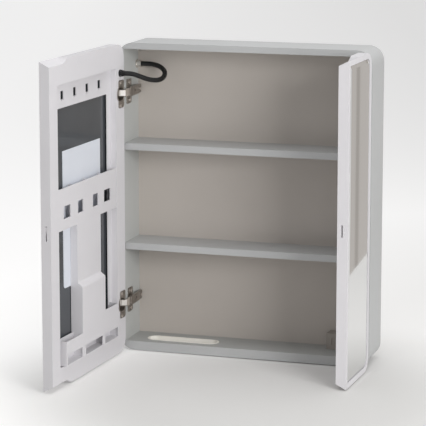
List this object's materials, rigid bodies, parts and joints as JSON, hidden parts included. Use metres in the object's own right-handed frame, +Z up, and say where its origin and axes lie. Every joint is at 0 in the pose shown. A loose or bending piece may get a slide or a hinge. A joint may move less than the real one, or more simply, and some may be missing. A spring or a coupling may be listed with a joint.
{
  "type": "wall cabinet",
  "caption": "Lockable wall cabinet for medicines with glass-fronted doors, shelves, an organiser on the wide door and a cable loop.",
  "frame": {"origin": "middle of the underside of the body, halfway between its front plane and the wall", "axes": "+Z up, +Y from the doors' side to the wall, +X to the right seen from the front"},
  "size_m": [0.609, 0.5128, 0.7],
  "materials": {
    "body_paint": "satin pale grey powder coat",
    "white_moulding": "fine matt white moulding",
    "steel_hardware": "nickel-plated pressed steel",
    "bright_metal": "bright plated",
    "white_metal": "satin white-painted steel",
    "black_conduit": "matt black",
    "dark_backing": "smooth anthracite",
    "door_glass": "polished tinted glass",
    "printed_sheet": "sheet in a clear sleeve"
  },
  "bodies": {
    "cabinet": {"casing_wrap": "body_paint", "inner_side_left": "body_paint", "inner_side_right": "body_paint", "inner_top": "body_paint", "inner_bottom": "body_paint", "slot_liner": "white_moulding", "back_panel": "body_paint", "wall_spacers": "steel_hardware", "shelf_lower": "body_paint", "shelf_upper": "body_paint", "shelf_pins": "steel_hardware", "cable_bush": "bright_metal", "cable_conduit": "black_conduit", "left_hinge_plates": "steel_hardware", "left_hinge_arms": "steel_hardware", "left_hinge_links": "bright_metal", "right_hinge_plates": "steel_hardware", "right_hinge_arms": "steel_hardware", "right_hinge_links": "bright_metal", "hinge_plate_screws": "bright_metal", "power_unit": "body_paint"},
    "left_door": {"left_door_frame": "white_moulding", "left_door_glass": "door_glass", "left_dark_panel": "dark_backing", "hook_plate": "white_moulding", "organiser": "white_moulding", "document_card": "printed_sheet", "left_hinge_cups": "steel_hardware", "left_cup_screws": "bright_metal", "left_hinge_pins": "bright_metal", "cable_gland": "black_conduit", "lock_cylinder": "bright_metal"},
    "lock_bolt": {"key_plug": "steel_hardware", "lock_hook": "white_metal"},
    "right_door": {"right_door_frame": "white_moulding", "right_door_glass": "door_glass", "right_dark_panel": "dark_backing", "right_inner_panel": "white_moulding", "right_hinge_cups": "steel_hardware", "right_cup_screws": "bright_metal", "right_hinge_pins": "bright_metal", "strike_plate": "white_metal"}
  },
  "joints": [
    {"name": "left_door_hinge", "type": "hinge", "parent": "cabinet", "child": "left_door", "pos_m": [-0.2846, -0.0682, 0.35], "axis": [0, 0, 1], "range_deg": [-17, 93], "deforming": ["cable_conduit"]},
    {"name": "lock_turn", "type": "hinge", "parent": "left_door", "child": "lock_bolt", "pos_m": [-0.30469, -0.43625, 0.35], "axis": [-0.9986, 0.0523, 0], "range_deg": [0, 90]},
    {"name": "right_door_hinge", "type": "hinge", "parent": "cabinet", "child": "right_door", "pos_m": [0.283, -0.0725, 0.35], "axis": [0, 0, 1], "range_deg": [-88.5, 21.5]}
  ]
}
